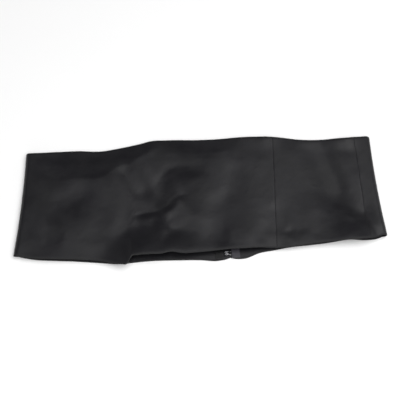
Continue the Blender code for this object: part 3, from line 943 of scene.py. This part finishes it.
@dataclass
class BandPanels:
    """The four cut panels of the band, each one grid of points given its thickness and rounded rims."""

    form: BandForm = field(default_factory=BandForm)
    satin: FusedSatin = field(default_factory=FusedSatin)
    cell: float = 1.25
    usual_width: float = 125.0
    fold_steps: int = 14
    # Extra columns beside a seam and rows beside a folded rim, as distances from it.
    seam_steps: tuple[float, ...] = (0.0, 0.14, 0.32, 0.6, 1.1, 1.9)
    rim_steps: tuple[float, ...] = (0.75, 1.2, 1.7, 2.4)

    def shares(self, length: float, start: tuple, end: tuple) -> np.ndarray:
        """Shares of a length for grid lines a cell apart, closer beside a rim.

        Args:
            length: the length in millimetres.
            start: the distances of the first grid lines from the start of the length.
            end: those of the last grid lines from its end.

        Returns:
            The shares, from 0 to 1.
        """
        low, high = start[-1], length - end[-1]
        count = max(2, round((high - low) / self.cell))
        middle = np.linspace(low, high, count + 1)[1:-1]
        return np.concatenate((start, middle, [length - step for step in end[::-1]])) / length

    def rows(self) -> np.ndarray:
        """Shares of the way from the near to the far edge."""
        return self.shares(self.usual_width, self.rim_steps, self.rim_steps)

    def layer(self, layer: Layer, v: np.ndarray, start: np.ndarray, end: np.ndarray, rims: tuple) -> list:
        """Columns of points of one layer.

        Args:
            layer: the front or the back layer.
            v: the shares across the band.
            start: the column that the run starts at, for each row.
            end: the column that it ends at.
            rims: whether its start and its end are at a seam.

        Returns:
            A list of arrays of points.
        """
        ends = self.form.layer_ends(v)
        length = float(np.mean(np.abs(end - start) * (ends[1] - ends[0])))
        point = self.form.front if layer is Layer.FRONT else self.form.back
        steps = [self.seam_steps if rim else (0.0,) for rim in rims]
        return [point(mix(start, end, share), v) for share in self.shares(length, *steps)]

    def folded(self, right: bool, v: np.ndarray) -> list:
        """Columns of points round one fold, from the back to the front layer."""
        angles = [math.pi * (k / self.fold_steps - 0.5) for k in range(1, self.fold_steps)]
        return [self.form.fold(right, v, angle) for angle in angles]

    def front_panel(self, v: np.ndarray) -> list:
        """From the left side seam on the back layer, round the left fold, to the front seam."""
        form, gap = self.form, self.form.seam_gap / 2
        zero = np.zeros_like(v)
        back = self.layer(Layer.BACK, v, form.column(form.left_side_seam, v, -gap), zero, (True, False))
        front = self.layer(Layer.FRONT, v, zero, form.column(form.front_seam, v, -gap), (False, True))
        return back + self.folded(False, v) + front

    def side_front_panel(self, v: np.ndarray) -> list:
        """From the front seam to the right side seam."""
        form, gap = self.form, self.form.seam_gap / 2
        start, end = form.column(form.front_seam, v, gap), form.column(form.right_side_seam, v, -gap)
        return self.layer(Layer.FRONT, v, start, end, (True, True))

    def back_right_panel(self, v: np.ndarray) -> list:
        """From the right side seam, round the right fold, to the centre back."""
        form, gap = self.form, self.form.seam_gap / 2
        one = np.ones_like(v)
        front = self.layer(Layer.FRONT, v, form.column(form.right_side_seam, v, gap), one, (True, False))
        back = self.layer(Layer.BACK, v, one, form.column(form.centre_back, v, gap), (False, True))
        return front + self.folded(True, v)[::-1] + back

    def back_left_panel(self, v: np.ndarray) -> list:
        """From the centre back to the left side seam."""
        form, gap = self.form, self.form.seam_gap / 2
        start, end = form.column(form.centre_back, v, -gap), form.column(form.left_side_seam, v, gap)
        return self.layer(Layer.BACK, v, start, end, (True, True))

    def build(self, on_left: list, on_right: list) -> None:
        """Builds the four panels in satin and hides their solids.

        Args:
            on_left: the pieces sewn to the left back panel; not used.
            on_right: the pieces sewn to the right back panel; not used.
        """
        v = self.rows()
        satin = self.satin.material()
        both = ["back_left_panel", "back_right_panel"]
        cuts = (
            Cut("front_panel", self.front_panel, (0.296, 0.134), both, []),
            Cut("side_front_panel", self.side_front_panel, (0.092, 0.122), both[1:], []),
            Cut("back_right_panel", self.back_right_panel, (0.185, 0.134), [], on_right),
            Cut("back_left_panel", self.back_left_panel, (0.180, 0.134), [], on_left),
        )
        for cut in cuts:
            sheet = walled_sheet(f"{cut.node}_cloth", cut.columns(v), self.form.wall)
            piece = finished(sheet, satin)
            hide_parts(cut.node)


# ---------------------------------------------------------------------------------------------------
# Closure
# ---------------------------------------------------------------------------------------------------


@dataclass(frozen=True)
class Tape:
    """A tape beside the centre back: how far from it it starts, its width and its side, 1 for the left."""

    edge: float
    width: float
    side: int


@dataclass
class Closure:
    """Two tapes sewn inside the centre back, and the hooks and eyes that come out of their facing edges.

    Places of the wire are away from the centre back, along it from the wire's middle, and heights above
    the table. lay is the wire's gap at a tape, and stitch_inset and stitch_start where its rows of
    stitches run and begin.
    """

    form: BandForm = field(default_factory=BandForm)
    hook_tape: Tape = Tape(1.8, 8.0, -1)
    eye_tape: Tape = Tape(6.2, 8.0, 1)
    # The cut width of the tapes: the outer edge of each is turned in.
    tape_cut: float = 10.0
    tape_wall: float = 1.0
    tape_middle: float = 2.4
    tape_proud: float = 1.0
    tape_far_setback: float = 1.5
    hook_count: int = 7
    first_hook: float = 4.1
    hook_spacing: float = 19.0
    wire: float = 0.7
    lay: float = 0.3
    hook_spread: float = 1.8
    shank_spread: float = 1.1
    bend_centre: float = 4.2
    bill_end: float = 1.7
    eye_bar: float = 3.6
    eye_spread: float = 2.15
    eye_corner: float = 0.9
    stitch_inset: float = 0.9
    stitch_start: float = 2.0
    bill_height: float = 2.25
    bar_height: float = 3.3
    shank_height: float = 4.35

    def axis(self) -> tuple[np.ndarray, np.ndarray, np.ndarray, float]:
        """Where the centre back starts, the way along it, the way across to its left, and its length."""
        ends = []
        for share in (0.0, 1.0):
            at = np.array([share])
            ends.append(self.form.back(self.form.column(self.form.centre_back, at), at)[:2, 0])
        length = float(np.linalg.norm(ends[1] - ends[0]))
        along = (ends[1] - ends[0]) / length
        return ends[0], along, np.array((-along[1], along[0])), length

    def tape_columns(self, tape: Tape) -> list:
        """Columns of points of a tape's middle.

        Args:
            tape: the tape.

        Returns:
            Arrays of points, from the facing edge outwards.
        """
        near, along, left, length = self.axis()
        half = self.tape_wall / 2
        run = np.linspace(half - self.tape_proud, length - self.tape_far_setback - half, 160)
        columns = []
        for share in TAPE_SHARES:
            away = tape.side * (tape.edge + tape.width * share)
            line = near[:, None] + along[:, None] * run + left[:, None] * away
            columns.append(np.vstack((line, np.full_like(run, self.tape_middle))))
        return columns

    def hook_half(self) -> list:
        """One side of a hook, from its end at the tape, over the bend and back to the side of its bill."""
        radius = (self.shank_height - self.bill_height) / 2
        middle = (self.shank_height + self.bill_height) / 2
        spread = self.shank_spread
        points = [
            (self.lay - self.hook_tape.edge, self.hook_spread, self.tape_middle),
            (0.5, self.hook_spread * 0.85, mix(self.tape_middle, self.shank_height, 0.45)),
            (1.8, spread * 1.05, self.shank_height),
        ]
        for k in range(BEND_STEPS + 1):
            angle = math.pi * (0.5 - k / BEND_STEPS)
            away = self.bend_centre + radius * math.cos(angle)
            points.append((away, spread, middle + radius * math.sin(angle)))
        points.append((self.bill_end + spread, spread, self.bill_height))
        points.append((self.bill_end + 0.3 * spread, 0.7 * spread, self.bill_height))
        return points

    def hook_points(self) -> list:
        """The whole hook, bent from one wire."""
        half = self.hook_half()
        return half + [(self.bill_end, 0.0, self.bill_height)] + [(a, -f, h) for a, f, h in half[::-1]]

    def eye_points(self) -> list:
        """A bowed loop out of the eye tape, with its bar inside the hook's bend."""
        corner = self.eye_corner
        half = [
            (self.eye_tape.edge - self.lay, self.eye_spread, self.tape_middle),
            (self.eye_bar + corner * 1.2, self.eye_spread, mix(self.tape_middle, self.bar_height, 0.8)),
            (self.eye_bar + corner * 0.3, self.eye_spread - corner * 0.3, self.bar_height),
            (self.eye_bar, self.eye_spread - corner, self.bar_height),
        ]
        return half + [(a, -f, h) for a, f, h in half[::-1]]

    def bent_wire(self, name: str, points: list, centre: np.ndarray) -> bpy.types.Object:
        """Bends a round wire through points.

        Args:
            name: the piece's name.
            points: places as away to the left, along, and height, from the centre.
            centre: a point of the centre back line.

        Returns:
            The wire as a closed mesh.
        """
        _, along, left, _ = self.axis()
        run = smooth_line(points)
        curve = bpy.data.curves.new(name, "CURVE")
        curve.dimensions = "3D"
        curve.bevel_depth = self.wire / 2 * MM
        curve.bevel_resolution = 3
        curve.use_fill_caps = True
        spline = curve.splines.new("POLY")
        spline.points.add(len(run) - 1)
        for target, (away, forward, height) in zip(spline.points, run):
            flat = centre + left * away + along * forward
            target.co = (flat[0] * MM, flat[1] * MM, height * MM, 1.0)
        source = bpy.data.objects.new(name, curve)
        bpy.context.scene.collection.objects.link(source)
        wire = baked(source, name)
        bm = bmesh.new()
        bm.from_mesh(wire.data)
        bmesh.ops.remove_doubles(bm, verts=bm.verts, dist=0.01 * MM)
        bmesh.ops.recalc_face_normals(bm, faces=bm.faces)
        bm.to_mesh(wire.data)
        bm.free()
        wire.data.shade_smooth()
        return wire

    def stitched(self, name: str, tape: Tape, thread: SewingThread) -> bpy.types.Object:
        """Sews a tape down along both of its long edges.

        Args:
            name: the name of the stitches.
            tape: the tape.
            thread: the thread.

        Returns:
            The stitches, as one piece.
        """
        near, along, left, length = self.axis()
        start, end = self.stitch_start - self.tape_proud, length - self.tape_far_setback - self.stitch_start
        run = np.linspace(start, end, 80)
        top = np.full_like(run, self.tape_middle + self.tape_wall / 2)
        lines = []
        for inset in (self.stitch_inset, tape.width - self.stitch_inset):
            flat = near[:, None] + along[:, None] * run + left[:, None] * tape.side * (tape.edge + inset)
            lines.append(np.vstack((flat, top)).T)
        return StitchLine().sewn(name, lines, thread.material())

    def build(self) -> tuple[list, list]:
        """Builds the closure.

        Returns:
            The pieces on the left back panel and those on the right back panel.
        """
        # The eye tape is the same tape drawn near-black and with a weaker specular: the tape is dark, and its
        # colour also carries painted shade from under the front layer's lip.
        grey, black_and_shaded = RibbonTape(), RibbonTape("0b0b0c", "070708", specular=0.22)
        grey_thread, black_thread = SewingThread("4a484f", "35333a"), SewingThread("1b1b1e", "101012")
        sides = (
            ("hook", self.hook_tape, grey, grey_thread, "tape", "back_right_panel"),
            ("eye", self.eye_tape, black_and_shaded, black_thread, "eye_tape", "back_left_panel"),
        )
        made = {}
        for kind, tape, finish, thread, slot, panel in sides:
            ribbon = walled_sheet(f"{kind}_tape_ribbon", self.tape_columns(tape), self.tape_wall)
            piece = finished(ribbon, finish.material())
            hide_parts(f"{kind}_tape")
            stitches = self.stitched(f"{kind}_tape_stitches", tape, thread)
            length = self.axis()[3] + self.tape_proud - self.tape_far_setback
            made[kind] = [piece, stitches]
        near, along, _, _ = self.axis()
        wires = (
            ("hook", self.hook_points(), PlatedWire().material(), "wire"),
            ("eye", self.eye_points(), EnamelledWire().material(), "eye_wire"),
        )
        for kind, points, finish, slot in wires:
            for k in range(self.hook_count):
                centre = near + along * (self.first_hook + self.hook_spacing * k)
                wire = finished(self.bent_wire(f"{kind}_{k + 1}_wire", points, centre), finish)
                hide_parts(f"{kind}_{k + 1}")
                made[kind].append(wire)
        return made["eye"], made["hook"]


# ---------------------------------------------------------------------------------------------------
# Studio
# ---------------------------------------------------------------------------------------------------


@dataclass(frozen=True)
class Softbox:
    """A rectangular light that faces the band: its place and size in metres, and its power in watts."""

    name: str
    at: tuple[float, float, float]
    size: tuple[float, float]
    power: float

    def hang(self) -> None:
        """Adds the light."""
        light = bpy.data.lights.new(self.name, "AREA")
        light.shape = "RECTANGLE"
        light.size, light.size_y = self.size
        light.energy = self.power
        box = bpy.data.objects.new(self.name, light)
        box.location = self.at
        box.rotation_euler = (-Vector(self.at)).to_track_quat("-Z", "Y").to_euler()
        bpy.context.scene.collection.objects.link(box)


SOFTBOXES = (
    Softbox("overhead softbox", (0.32, -0.3, 1.35), (2.2, 1.6), 33.0),
    Softbox("left reflector", (-1.25, 0.55, 0.4), (0.9, 0.5), 2.0),
    Softbox("right reflector", (1.25, 0.55, 0.4), (0.9, 0.5), 2.0),
    Softbox("front reflector", (0.0, -1.3, 0.3), (1.6, 0.3), 3.0),
)


@dataclass
class Studio:
    """White paper, one large softbox above the band, weak reflectors round it, and the camera."""

    # The camera: degrees above the table, metres from its aim, and its lens and sensor in millimetres.
    elevation: float = 65.0
    distance: float = 1.11
    lens: float = 100.0
    sensor: float = 36.0
    # Where the middle of the picture falls, in millimetres.
    aim: tuple[float, float, float] = (-1.3, -2.5, 5.0)
    sky: float = 0.1
    paper_size: float = 6.0
    # How far the paper lies below the band, so that the two faces don't coincide.
    paper_drop: float = 0.0001
    paper: StudioPaper = field(default_factory=StudioPaper)

    def floor(self) -> None:
        """Lays the paper under the band."""
        bpy.ops.mesh.primitive_plane_add(size=self.paper_size, location=(0.0, 0.0, -self.paper_drop))
        floor = bpy.context.object
        floor.name = "paper_floor"
        floor.data.materials.append(self.paper.material())

    def light(self) -> None:
        """Sets the sky and the softboxes."""
        world = bpy.data.worlds.new("studio")
        bpy.context.scene.world = world
        world.use_nodes = True
        backdrop = world.node_tree.nodes["Background"]
        backdrop.inputs["Color"].default_value = (1.0, 1.0, 1.0, 1.0)
        backdrop.inputs["Strength"].default_value = self.sky
        for softbox in SOFTBOXES:
            softbox.hang()
        bpy.context.scene.view_settings.view_transform = "Standard"

    def camera(self) -> None:
        """Places the camera at the photograph's angle."""
        angle = math.radians(self.elevation)
        aim = Vector(self.aim) * MM
        back = Vector((0.0, -math.cos(angle), math.sin(angle)))
        camera = bpy.data.cameras.new("camera")
        camera.lens = self.lens
        camera.sensor_width = self.sensor
        camera.clip_start = 0.01
        holder = bpy.data.objects.new("camera", camera)
        holder.location = aim + back * self.distance
        holder.rotation_euler = (-back).to_track_quat("-Z", "Y").to_euler()
        bpy.context.scene.collection.objects.link(holder)
        bpy.context.scene.camera = holder

    def build(self) -> None:
        """Builds the whole studio."""
        self.floor()
        self.light()
        self.camera()


def understitching(form: BandForm) -> bpy.types.Object:
    """Sews the turned-in edges of the back layer down on the inside, along its near and far edges.

    Args:
        form: the form of the band.

    Returns:
        The stitches, as one piece.
    """
    column = np.linspace(0.012, 0.988, 150)
    lines = []
    for share in (UNDERSTITCH_SHARE, 1 - UNDERSTITCH_SHARE):
        x, y, z = form.back(column, np.full_like(column, share))
        lines.append(np.stack((x, y, z + form.wall / 2), axis=1))
    thread = SewingThread("222226", "151518").material()
    return StitchLine(pitch=3.2, length=2.4).sewn("inside_stitches", lines, thread)


def main() -> None:
    """Builds the studio and the dressed band in order."""
    logging.basicConfig(level=logging.INFO, format="%(name)s: %(message)s")
    Studio().build()
    on_left, on_right = Closure().build()
    on_left.append(understitching(BandForm()))
    BandPanels().build(on_left, on_right)


if __name__ == "__main__":
    main()
